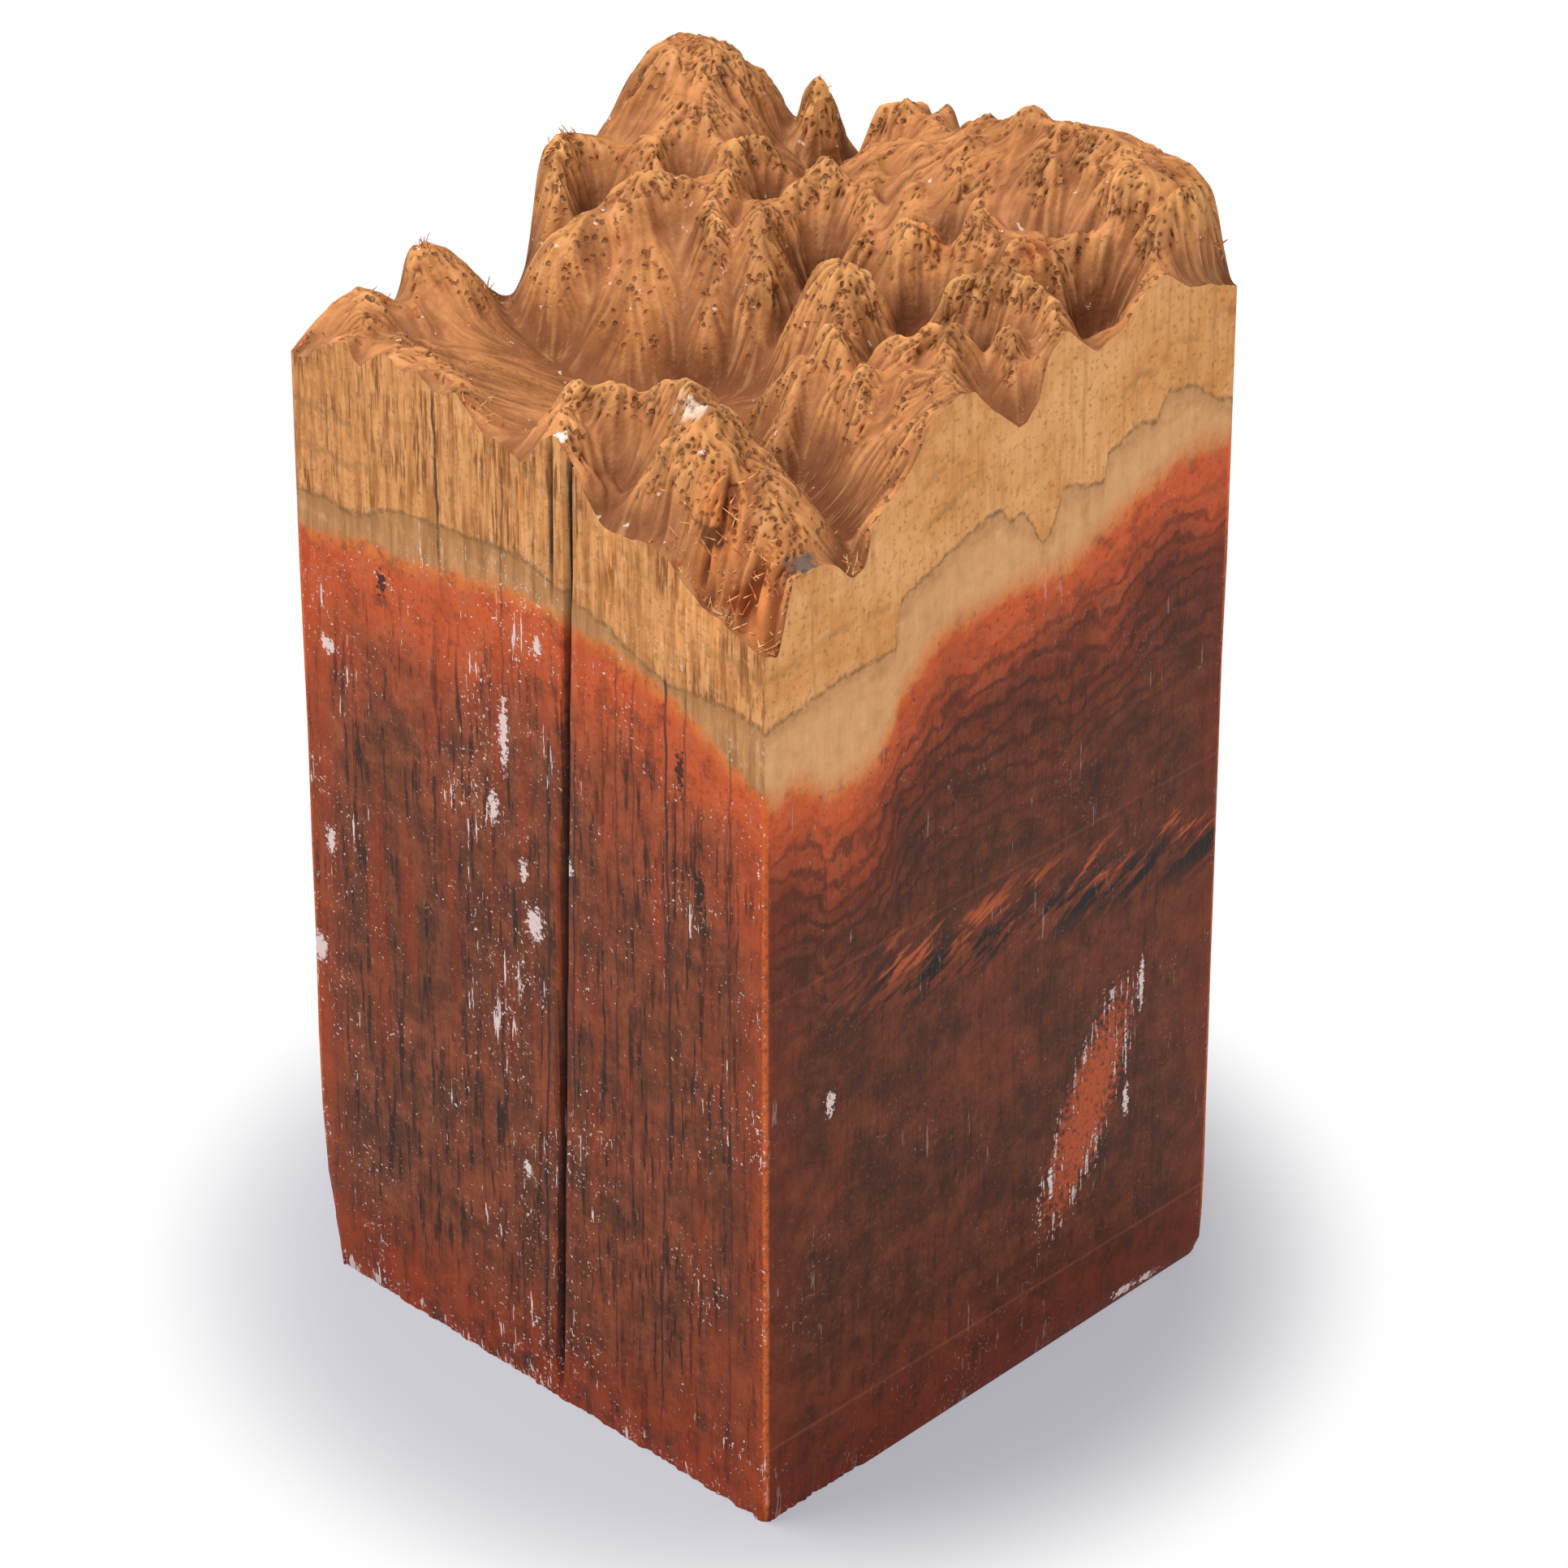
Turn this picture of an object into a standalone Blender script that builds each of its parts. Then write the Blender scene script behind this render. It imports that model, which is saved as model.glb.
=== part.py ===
"""Burl turning blank: one block of burl wood, ready to be mounted on a lathe.

The base and the four long sides are flat saw cuts. The top is the burl's own
outer surface with its bark cleaned off. A smooth valley crosses it from the
left cut to the right cut. A knobby ridge stands before the valley, a mountain
with cones behind it, a group of small knobs and a broad dome to its right.

Frame: millimetres in the numbers below, metres in the mesh. The origin is the
middle of the base, +Z is up along the block, the front edge is the one at +X -Y.
"""

import bmesh
import bpy
import numpy as np

# Driving dimensions
MM = 0.001
SIDE = 102.0
HALF = SIDE / 2.0
GRID_CELLS = 72
CELL = SIDE / GRID_CELLS

# How far a saw cut's outline reaches inwards before the burl's own form rules
CUT_REACH = 3.5

# How softly knobs and hollows run into the ground around them
BLEND = 1.0

# Small lumps all over the skin
LUMP_SPACING = 6.0
LUMP_HEIGHT = 1.8
LUMP_SEED = 7

# Broken corners and edges at the foot: a point on the break, then the way it faces
FOOT_BREAKS = {
    "left corner": ((-HALF + 2.0, -HALF + 2.0, 0.0), (-1.0, -1.0, -0.16)),
    "front corner": ((HALF - 0.7, -HALF + 0.7, 0.0), (1.0, -1.0, -0.5)),
    "right corner": ((HALF - 0.9, HALF - 0.9, 0.0), (1.0, 1.0, -0.3)),
    "right edge, chipped": ((HALF - 1.2, 30.0, 0.0), (1.0, 0.02, -0.7)),
}

# Top outline of the four saw cuts: place along the cut, then height
FRONT_CUT = [
    (-51, 171), (-49, 170), (-45, 174), (-41, 176.5), (-38.5, 177.5), (-36, 174),
    (-31, 178), (-29, 179), (-26, 177), (-23, 179), (-18, 177), (-14, 178.5),
    (-8, 173.5), (-5, 174), (0.5, 172), (4, 177.5), (7.5, 180), (12, 174.5),
    (16.5, 168.5), (19, 168), (26, 169.5), (31, 168.5), (35, 165), (40, 163), (51, 160),
]
RIGHT_CUT = [
    (-51, 160), (-48, 159.5), (-46, 168), (-45, 171), (-39, 171), (-36, 169.5),
    (-33, 166), (-30, 166.5), (-28, 174), (-24, 176), (-20, 180), (-16, 186),
    (-10, 188), (-7, 187), (-3, 182), (3.5, 176.5), (7, 180), (9, 187), (13, 189.5),
    (16, 186), (20, 182.5), (26, 185), (29, 188), (34.5, 190.5), (40, 186),
    (46, 184), (51, 182),
]
LEFT_CUT = [
    (-51, 171), (-47, 173.5), (-42, 176), (-37, 176.5), (-33, 174), (-30, 170.5),
    (-28, 174), (-26.5, 179), (-22, 178.5), (-18, 176), (-14, 171), (-11, 167),
    (-8, 164), (-5, 162), (-3, 164), (-1, 168), (0, 174), (2, 185), (6, 187),
    (9, 186), (14, 183.5), (17, 186), (21, 191), (26, 194.5), (33, 195),
    (40, 190), (46, 185), (51, 179),
]
BACK_CUT = [
    (-51, 179), (-46, 176), (-42, 172), (-38, 180), (-35, 180), (-31, 176),
    (-27, 173), (-24, 176), (-21, 182), (-18, 187), (-14.5, 189), (-12.5, 186.5),
    (-10.5, 191), (-8.5, 190), (-6, 185), (-3, 186.5), (-1, 191), (1, 188.5),
    (8, 193), (14, 196), (20, 198), (28, 199.5), (35, 199), (41, 199), (46, 197),
    (49, 191), (51, 182),
]

# Spot heights of the ground between the knobs: x, y, height
GROUND = [
    # left shelf that falls to the valley
    (-43, -44, 173), (-41, -31, 170), (-30, -38, 173), (-24, -27, 167), (-14, -38, 171),
    (-4, -43, 172), (-10, -28, 166), (-41, -18, 168),
    # floor of the valley, from the left cut to the right cut
    (-42, -9, 162), (-32, -11, 161), (-20, -7, 160), (-8, -2, 161), (2, -12, 162),
    (12, -16, 162), (26, -20, 163), (38, -25, 164), (46, -29, 165),
    # behind the front ridge and before it
    (8, -28, 171), (22, -27, 169), (42, -47, 167), (30, -46, 169), (14, -46, 174),
    # slope up to the mountain
    (-44, 2, 170), (-44, 11, 178), (-33, 0, 170), (-20, 3, 164), (-27, 7, 176),
    (-32, 18, 181), (-45, 22, 188), (-20, 20, 177), (-24, 32, 178), (-38, 36, 184),
    (-38, 47, 178), (-10, 6, 165), (-18, 35, 176), (-22, 46, 176), (-8, 20, 173),
    (-11, 30, 176),
    # slope right of the valley, and the ground of its small knobs
    (2, 2, 166), (0, 12, 172), (10, -3, 170), (18, -8, 172), (24, -12, 170),
    (34, -15, 173), (42, -18, 176), (24, -4, 176), (34, -4, 179), (46, -9, 185),
    (46, 2, 177), (38, 9, 178), (22, 9, 178), (18, 15, 177), (28, 24, 181),
    (39, 29, 178), (46, 25, 181), (30, 38, 193), (18, 32, 192), (8, 34, 191),
    (38, 41, 194), (45, 42, 192), (26, 28, 184),
    # crown of the dome
    (-10, 44, 188), (0, 46, 192), (14, 48, 197), (27, 48, 200), (38, 48, 198),
]

# Ridges and fingers: crest points (x, y, height), fall to each side, roundness
RIDGES = {
    "left corner knob": ([(-51, -37, 176), (-46, -40, 178), (-41, -44, 177)], 2.4, 3.2),
    "cut spike": ([(-53, -23, 180), (-46, -21, 175)], 2.4, 3.5),
    "low crest": ([(-33, -46, 178), (-27, -47, 178), (-20, -48, 178)], 1.2, 3.0),
    "front ridge": ([(5, -44, 181), (11, -41, 185), (18, -38.5, 187.5), (25, -38, 186.5),
                     (31, -38, 183), (37, -38, 180), (44, -38, 176), (51, -37, 170)], 2.2, 6.5),
    "front ridge spur": ([(25, -39, 185.5), (31, -42, 181), (36, -46, 174)], 2.0, 5.0),
    "left wall": ([(-51, 3, 185), (-48, 8, 187), (-49, 14, 184)], 3.2, 4.5),
    "middle crest": ([(-39, -4, 178), (-37, 0, 181), (-35, 4, 182), (-33, 9, 184),
                      (-31, 13, 185)], 2.6, 4.0),
    "middle buttress": ([(-33, 9, 184), (-29, 4, 177), (-24, -1, 167)], 1.6, 7.0),
    "upper crest": ([(-42, 10, 184), (-40, 15, 187), (-39, 20, 188), (-38, 25, 190)], 3.0, 3.2),
    "upper crest, right": ([(-36, 21, 188), (-30, 19, 186), (-26, 25, 190)], 3.0, 3.4),
    "peak": ([(-51, 30, 195), (-46, 32, 195.5), (-47, 41, 187)], 1.8, 6.5),
    "peak face": ([(-45, 31, 193.5), (-41, 26, 190), (-37, 27, 188)], 1.8, 5.0),
    "split finger": ([(-25, 17, 186), (-22, 11, 183.5), (-18, 8, 181), (-14, 3, 172)], 3.4, 2.2),
    "second finger": ([(-18, 18, 184), (-13, 13, 184.5), (-9, 9, 179), (-5, 4, 169)], 3.4, 2.6),
    "thick finger": ([(-18, 26, 189), (-13, 25, 190), (-11, 21, 185), (-9, 16, 178)], 3.4, 4.6),
    "right finger": ([(7, 8, 186), (12, 7, 187), (17, 2, 180)], 3.0, 3.4),
    "back knob": ([(-17.5, 46.5, 190.5), (-14, 49, 191)], 4.4, 2.8),
    "dome": ([(-13, 39, 184.5), (-8, 39, 188), (-2, 40, 190), (6, 43, 194), (13, 45, 198.5),
              (20, 46, 200.5), (28, 46, 201), (38, 46, 200), (46, 47, 198)], 2.1, 7.0),
    "dome flank": ([(-13, 39, 186), (-9, 34, 186.5), (-4, 27, 186.5), (2, 21, 184.5)], 3.4, 3.0),
    "dome buttress": ([(1, 36, 191), (5, 30, 189.5)], 2.8, 5.0),
    "knob under the dome": ([(6, 27, 187), (12.5, 20, 189.5)], 3.2, 4.2),
    "dome rib": ([(8, 38, 196), (15, 30, 193), (20, 26, 189.5)], 3.0, 4.0),
    "dome brow": ([(20, 27, 189.5), (29, 30, 190.5), (37, 34.5, 190),
                   (43, 38, 191), (51, 35, 191)], 3.2, 4.0),
    "arch": ([(23, 13, 181), (26, 15, 187), (31, 18, 191), (39, 20, 191), (45, 17, 189.5),
              (51, 13, 189)], 4.5, 2.4),
    "leaning knob": ([(26, 2.5, 188.5), (28.5, -1, 186), (30, -4, 180)], 3.6, 1.8),
    "leaning ridge": ([(31.5, 3, 188), (32.5, -1, 185), (34, -5, 181)], 3.8, 1.3),
    "round knob": ([(36, 4.5, 188), (39, 1.5, 186)], 3.6, 3.2),
    "knob over the notch": ([(42, 11, 187.5), (47, 6, 184)], 3.4, 2.4),
    "first small finger": ([(15.5, -8.5, 181), (18, -12, 176)], 3.6, 1.6),
    "second small finger": ([(18, -3, 184), (21, -5, 183.5), (25, -9.5, 178)], 3.6, 2.0),
    "third small finger": ([(28.5, -7, 183.5), (32, -11.5, 178.5), (35, -15, 173)], 3.6, 1.7),
    "fourth small finger": ([(35, -7.5, 185), (39, -10, 181), (43, -14, 177)], 3.6, 1.6),
    "low small finger": ([(12.5, -10.5, 175.5), (16.5, -13, 175.5), (20.5, -17, 171)], 3.4, 1.9),
    "eyed band": ([(37, -4, 184.5), (43, -5, 186), (51, -9, 188)], 2.6, 2.6),
}

# Cones: x, y, top, fall, roundness of the tip
CONES = {
    "back spike": (-31, 44, 191.5, 4.2, 1.8),
    "back cone": (-10.5, 51, 192.5, 4.4, 1.6),
    "back thorn": (-1, 51, 193.5, 4.4, 1.2),
    "ridge knob, first": (4, -48.5, 182, 3.0, 2.6),
    "ridge knob, second": (2.5, -42, 183.5, 3.2, 2.2),
    "ridge knob, third": (10.5, -42.5, 187, 3.0, 2.6),
    "ridge knob, fourth": (18, -38.5, 189.5, 2.6, 4.0),
    "ridge knob, low": (33, -44, 180, 2.6, 3.0),
    "dome lobe, left": (14, 44, 200.5, 2.2, 2.5),
    "dome lobe, middle": (23, 39, 199, 2.2, 3.0),
    "dome lobe, top": (29, 46, 202.5, 2.0, 3.0),
    "dome lobe, right": (37, 42, 200.5, 2.2, 3.0),
    "dome lobe, far right": (45, 46, 200, 2.4, 2.5),
    "dome lobe, low": (42, 39, 195, 2.4, 2.5),
    "dome lobe, back": (4, 46, 196, 2.2, 2.5),
}

# Hollows: x, y, bottom, rise to each side, roundness
HOLLOWS = {
    "behind the left wall": (-43, 6, 172, 3.0, 1.8),
    "left of the thick finger": (-21, 24, 176, 2.6, 2.5),
    "under the dome buttress": (19, 14, 174, 3.0, 2.4),
    "deep bowl": (42, 28, 175, 3.0, 4.0),
    "under the arch": (40.5, 14, 180, 3.6, 1.2),
    "between the crests": (-33, 17, 179, 2.4, 1.8),
    "beside the dome flank": (-6, 18, 171, 2.4, 2.5),
    "between the right fingers": (22, 5, 172, 2.4, 2.0),
    "on the front ridge": (15, -46, 171, 2.0, 2.5),
    "groove beside the buttress": (14, 25.5, 181, 3.4, 0.8),
    "before the small fingers": (12, -16.5, 163, 2.4, 2.0),
    "between the small fingers": (21, -9.5, 174, 3.2, 0.9),
    "beside the third finger": (34.5, -9.5, 175, 3.4, 0.9),
    "behind the small fingers": (27.5, -3.5, 177, 3.2, 1.0),
    "beside the round knob": (42, 3.5, 178, 3.2, 1.2),
    "behind the ridge knobs": (7, -44.5, 178.5, 2.8, 0.9),
}

# Middle line of the smooth valley and of the smooth shelf left of it: x, y
SMOOTH_LINES = [
    [(-51, -6), (-33, -10), (-8, -2), (12, -14), (38, -24), (51, -31)],
    [(-10, -44), (-24, -27), (-40, -20)],
]
SMOOTH_HALF_WIDTH = 7.0


def outline_height(cut, place):
    """Height of a saw cut's top outline at each place along it."""
    return np.interp(place, [point[0] for point in cut], [point[1] for point in cut])


def plate(distance):
    """Kernel of a thin bent plate, which passes smoothly through all its supports."""
    return distance * distance * np.log(distance + 1e-9)


def ground_surface(x, y):
    """A smooth surface through the spot heights and the four outlines."""
    supports = list(GROUND)
    for place in np.arange(-HALF, HALF + 0.1, 6.0):
        supports.append((place, -HALF, float(outline_height(FRONT_CUT, place))))
        supports.append((place, HALF, float(outline_height(BACK_CUT, place))))
    for place in np.arange(-HALF + 6.0, HALF - 0.1, 6.0):
        supports.append((-HALF, place, float(outline_height(LEFT_CUT, place))))
        supports.append((HALF, place, float(outline_height(RIGHT_CUT, place))))
    spots = np.array(supports, dtype=float)
    count = len(spots)
    gaps = np.hypot(spots[:, None, 0] - spots[None, :, 0], spots[:, None, 1] - spots[None, :, 1])
    flat = np.column_stack([np.ones(count), spots[:, :2]])
    system = np.zeros((count + 3, count + 3))
    system[:count, :count] = plate(gaps) + np.eye(count) * 20.0
    system[:count, count:] = flat
    system[count:, :count] = flat.T
    weights = np.linalg.solve(system, np.concatenate([spots[:, 2], np.zeros(3)]))
    away = np.hypot(x[:, None] - spots[None, :, 0], y[:, None] - spots[None, :, 1])
    bent = plate(away) @ weights[:count]
    return bent + weights[count] + weights[count + 1] * x + weights[count + 2] * y


def soft_max(first, second):
    """The higher of two surfaces, with a rounded seam."""
    return np.maximum(first, second) + BLEND * np.log1p(np.exp(-np.abs(first - second) / BLEND))


def soft_min(first, second):
    """The lower of two surfaces, with a rounded seam."""
    return -soft_max(-first, -second)


def rounded_fall(distance, fall, roundness):
    """Fall from the tip of a thumb: a broad round top, then an even steep flank."""
    return fall * (np.cbrt(distance**3 + roundness**3) - roundness)


def line_distance(x, y, start, end):
    """Distance from each point to a straight stretch, and how far along it is."""
    step_x = end[0] - start[0]
    step_y = end[1] - start[1]
    part = ((x - start[0]) * step_x + (y - start[1]) * step_y) / (step_x**2 + step_y**2)
    part = np.clip(part, 0.0, 1.0)
    away = np.hypot(x - start[0] - part * step_x, y - start[1] - part * step_y)
    return away, part


def ridge_surface(x, y, crest, fall, roundness):
    """A ridge whose crest follows a line of points."""
    surface = np.full(x.shape, -1000.0)
    for start, end in zip(crest[:-1], crest[1:]):
        away, part = line_distance(x, y, start, end)
        height = start[2] + part * (end[2] - start[2])
        surface = np.maximum(surface, height - rounded_fall(away, fall, roundness))
    return surface


def lump_share(x, y):
    """0 along the smooth valley and shelf, 1 away from them."""
    nearest = np.full(x.shape, 1000.0)
    for line in SMOOTH_LINES:
        for start, end in zip(line[:-1], line[1:]):
            nearest = np.minimum(nearest, line_distance(x, y, start, end)[0])
    return np.clip((nearest - SMOOTH_HALF_WIDTH) / SMOOTH_HALF_WIDTH, 0.0, 1.0)


def lumps(x, y):
    """Small rounded lumps at irregular places, up to LUMP_HEIGHT high."""
    dice = np.random.default_rng(LUMP_SEED)
    places = np.arange(-HALF, HALF + LUMP_SPACING, LUMP_SPACING)
    centre_x, centre_y = np.meshgrid(places, places)
    centre_x = centre_x.ravel() + dice.uniform(-0.4, 0.4, centre_x.size) * LUMP_SPACING
    centre_y = centre_y.ravel() + dice.uniform(-0.4, 0.4, centre_y.size) * LUMP_SPACING
    away = np.hypot(x[:, None] - centre_x[None, :], y[:, None] - centre_y[None, :])
    nearest = np.min(away, axis=1) / (0.7 * LUMP_SPACING)
    return LUMP_HEIGHT * (np.clip(1.0 - nearest**2, 0.0, 1.0) - 0.5)


def burl_height(x, y):
    """Height of the burl's outer surface over the base at each point."""
    height = ground_surface(x, y)
    for crest, fall, roundness in RIDGES.values():
        height = soft_max(height, ridge_surface(x, y, crest, fall, roundness))
    for cone_x, cone_y, top, fall, roundness in CONES.values():
        away = np.hypot(x - cone_x, y - cone_y)
        height = soft_max(height, top - rounded_fall(away, fall, roundness))
    for hollow_x, hollow_y, bottom, rise, roundness in HOLLOWS.values():
        away = np.hypot(x - hollow_x, y - hollow_y)
        height = soft_min(height, bottom + rounded_fall(away, rise, roundness))
    return height + lumps(x, y) * lump_share(x, y)


def averaged_height(x, y):
    """Mean height over a patch one grid cell wide, so that steep flanks don't step."""
    total = np.zeros(x.shape)
    steps = (-0.5 * CELL, 0.0, 0.5 * CELL)
    for shift_x in steps:
        for shift_y in steps:
            total += burl_height(x + shift_x, y + shift_y)
    return total / len(steps) ** 2


def cut_to_outlines(x, y, height):
    """Bring the surface to the outline of each saw cut along the block's sides."""
    cuts = [
        (y + HALF, FRONT_CUT, x), (HALF - y, BACK_CUT, x),
        (x + HALF, LEFT_CUT, y), (HALF - x, RIGHT_CUT, y),
    ]
    for depth, cut, place in cuts:
        share = np.exp(-((depth / CUT_REACH) ** 2))
        height = height + share * (outline_height(cut, place) - height)
    return height


def wood_material():
    """Bare burl wood with its sealing wax, as one plain colour."""
    material = bpy.data.materials.new("burl_wood")
    material.use_nodes = True
    shader = material.node_tree.nodes["Principled BSDF"]
    shader.inputs["Base Color"].default_value = (0.28, 0.09, 0.05, 1.0)
    shader.inputs["Roughness"].default_value = 0.6
    shader.inputs["Metallic"].default_value = 0.0
    return material


def break_foot(shape):
    """Break the corners at the foot with flat cuts, each closed by one flat face."""
    for point, facing in FOOT_BREAKS.values():
        parts = list(shape.verts) + list(shape.edges) + list(shape.faces)
        cut = bmesh.ops.bisect_plane(
            shape, geom=parts, dist=0.001, plane_co=point, plane_no=facing, clear_outer=True
        )
        seam = [item for item in cut["geom_cut"] if isinstance(item, bmesh.types.BMEdge)]
        bmesh.ops.contextual_create(shape, geom=seam)


def burl_block():
    """The block: a grid lifted to the burl's surface, walls down to the base."""
    shape = bmesh.new()
    bmesh.ops.create_grid(shape, x_segments=GRID_CELLS, y_segments=GRID_CELLS, size=HALF)
    points = np.array([vert.co[:2] for vert in shape.verts])
    heights = averaged_height(points[:, 0], points[:, 1])
    heights = cut_to_outlines(points[:, 0], points[:, 1], heights)
    for vert, height in zip(shape.verts, heights):
        vert.co.z = float(height)

    rim = [edge for edge in shape.edges if edge.is_boundary]
    walls = bmesh.ops.extrude_edge_only(shape, edges=rim)
    foot = [item for item in walls["geom"] if isinstance(item, bmesh.types.BMVert)]
    for vert in foot:
        vert.co.z = 0.0
    base_edges = [edge for edge in shape.edges if edge.is_boundary]
    bmesh.ops.contextual_create(shape, geom=base_edges)
    break_foot(shape)

    bmesh.ops.scale(shape, vec=(MM, MM, MM), verts=shape.verts)
    bmesh.ops.recalc_face_normals(shape, faces=shape.faces)
    mesh = bpy.data.meshes.new("burl_blank")
    shape.to_mesh(mesh)
    shape.free()
    mesh.materials.append(wood_material())
    block = bpy.data.objects.new("burl_blank", mesh)
    bpy.context.scene.collection.objects.link(block)
    return block


def main():
    for old in list(bpy.data.objects):
        bpy.data.objects.remove(old)
    burl_block()


main()
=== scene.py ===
# %% [markdown]
# # Burl turning blank
#
# A burl is a knobby growth on a tree. This block was sawn from one: its base and four sides
# are flat saw cuts, and its top is the burl's own surface with the bark cleaned off. The
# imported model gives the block's exact shape, so every piece here is fitted to it.

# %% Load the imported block
import math

import bmesh
import bpy
import numpy as np
from mathutils import Matrix, Vector, noise
from mathutils.bvhtree import BVHTree


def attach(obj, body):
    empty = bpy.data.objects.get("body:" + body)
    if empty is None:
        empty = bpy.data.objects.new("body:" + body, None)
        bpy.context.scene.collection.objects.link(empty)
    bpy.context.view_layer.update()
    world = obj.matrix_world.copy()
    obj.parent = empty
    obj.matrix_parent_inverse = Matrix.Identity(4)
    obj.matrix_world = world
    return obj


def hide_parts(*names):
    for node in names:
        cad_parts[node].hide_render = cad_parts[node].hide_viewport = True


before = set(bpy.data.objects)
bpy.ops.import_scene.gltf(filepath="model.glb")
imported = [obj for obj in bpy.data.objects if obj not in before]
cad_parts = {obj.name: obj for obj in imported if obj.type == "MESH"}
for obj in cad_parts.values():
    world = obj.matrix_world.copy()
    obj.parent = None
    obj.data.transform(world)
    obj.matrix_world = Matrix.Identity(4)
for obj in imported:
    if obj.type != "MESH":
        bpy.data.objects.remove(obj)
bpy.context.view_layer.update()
MM = 0.001
SIDE = 102.0
HALF = SIDE / 2.0

# %% [markdown]
# ## Camera
#
# The photograph looks down at the block's front edge from about 33 degrees. A long lens
# keeps the upright edges nearly parallel, as they are in the photograph.

# %% Camera
camera = bpy.data.objects.new("camera", bpy.data.cameras.new("camera"))
camera.data.lens = 174.4
camera.data.sensor_width = 36.0
camera.data.clip_start = 0.05
camera.location = (0.7139, -0.7176, 0.7432)
camera.rotation_euler = (math.radians(90.0 - 32.754), 0.0, math.radians(44.67))
bpy.context.scene.collection.objects.link(camera)
bpy.context.scene.camera = camera
print("camera stands", round(camera.location.length, 3), "m away")

# %% [markdown]
# ## Colours and nodes
#
# Colours are written as the hex values that a paint program shows. The renderer needs them
# linear, so one function turns them. A second one adds any node with its settings and
# links, which keeps each material short enough to read.


# %% Helpers for colours and nodes
def linear(hex_colour):
    """A hex colour as linear red, green, blue and a full alpha."""
    parts = [int(hex_colour[place : place + 2], 16) / 255.0 for place in (1, 3, 5)]
    turned = [p / 12.92 if p <= 0.04045 else ((p + 0.055) / 1.055) ** 2.4 for p in parts]
    return (*turned, 1.0)


def add(tree, kind, settings=None, **links):
    """Add a node. A link's name is its input's name or number, with _ for a space."""
    node = tree.nodes.new("ShaderNode" + kind)
    for name, value in (settings or {}).items():
        setattr(node, name, value)
    for name, value in links.items():
        place = int(name[2:]) if name.startswith("in") and name[2:].isdigit() else None
        socket = node.inputs[place if place is not None else name.replace("_", " ")]
        if isinstance(value, bpy.types.NodeSocket):
            tree.links.new(value, socket)
        else:
            socket.default_value = value
    return node


def new_material(name):
    """A material with nodes, its tree and its main shader."""
    material = bpy.data.materials.new(name)
    material.use_nodes = True
    return material, material.node_tree, material.node_tree.nodes["Principled BSDF"]


# %% [markdown]
# ## Floor and light
#
# The block stands on pale paper that fades to white within 106 mm of its middle. The paper glows,
# which is painted light: near the block its own grey glow makes 60 percent of its look, and far off
# white glow makes all of it. Three soft lamps and a bright room give the photograph's short soft
# shadow: a strong lamp overhead on the left, and weaker ones in front and on the right. The paper's
# glow keeps that shadow faint.

# %% Floor
shape = bmesh.new()
bmesh.ops.create_grid(shape, x_segments=1, y_segments=1, size=3.0)
floor = bpy.data.objects.new("floor", bpy.data.meshes.new("floor"))
shape.to_mesh(floor.data)
shape.free()
bpy.context.scene.collection.objects.link(floor)
paper, tree, shader = new_material("white_paper")
place = add(tree, "TexCoord").outputs["Object"]
away = add(tree, "VectorMath", {"operation": "LENGTH"}, in0=place).outputs["Value"]
far = add(
    tree, "MapRange", {"interpolation_type": "SMOOTHSTEP"},
    Value=away, From_Min=0.066, From_Max=0.106,
).outputs["Result"]
shader.inputs["Base Color"].default_value = linear("#B4B4BB")
shader.inputs["Roughness"].default_value = 0.8
# Painted light: the paper glows grey near the block and white far off. The glow makes 60 to 100
# percent of its look and keeps the block's shadow faint.
glow = add(
    tree, "Mix", {"data_type": "RGBA"},
    Factor=far, in6=linear("#C6C6CE"), in7=linear("#FFFFFF"),
)
white = add(tree, "Emission", Color=glow.outputs[2]).outputs["Emission"]
glow_share = add(tree, "MapRange", None, Value=far, To_Min=0.6).outputs["Result"]
faded = add(tree, "MixShader", Fac=glow_share, in1=shader.outputs["BSDF"], in2=white)
tree.links.new(faded.outputs["Shader"], tree.nodes["Material Output"].inputs["Surface"])
floor.data.materials.append(paper)

# %% Light
world = bpy.data.worlds.new("room")
bpy.context.scene.world = world
world.use_nodes = True
world.node_tree.nodes["Background"].inputs["Color"].default_value = linear("#FFFCF6")
world.node_tree.nodes["Background"].inputs["Strength"].default_value = 0.5
for name, place, size, power in (
    ("overhead_softbox", (-0.28, -0.3, 1.15), 0.6, 16.0),
    ("front_softbox", (0.8, -0.85, 0.7), 0.5, 4.0),
    ("right_softbox", (1.0, 0.1, 0.55), 0.5, 2.0),
):
    lamp = bpy.data.objects.new(name, bpy.data.lights.new(name, "AREA"))
    lamp.data.energy = power
    lamp.data.size = size
    lamp.location = place
    aim = Vector((0, 0, 0.12)) - lamp.location
    lamp.rotation_euler = aim.to_track_quat("-Z", "Y").to_euler()
    bpy.context.scene.collection.objects.link(lamp)
bpy.context.scene.view_settings.view_transform = "Standard"
bpy.context.scene.view_settings.look = "None"
print("floor and", len(bpy.data.lights), "lamps")

# %% [markdown]
# ## Reading the burl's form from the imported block
#
# The burl surface is a height over each point of the block, so it can be kept as a square
# table of heights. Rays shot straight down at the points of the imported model's own grid read
# that table. A smooth curve through the heights then makes it four times finer.

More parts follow.
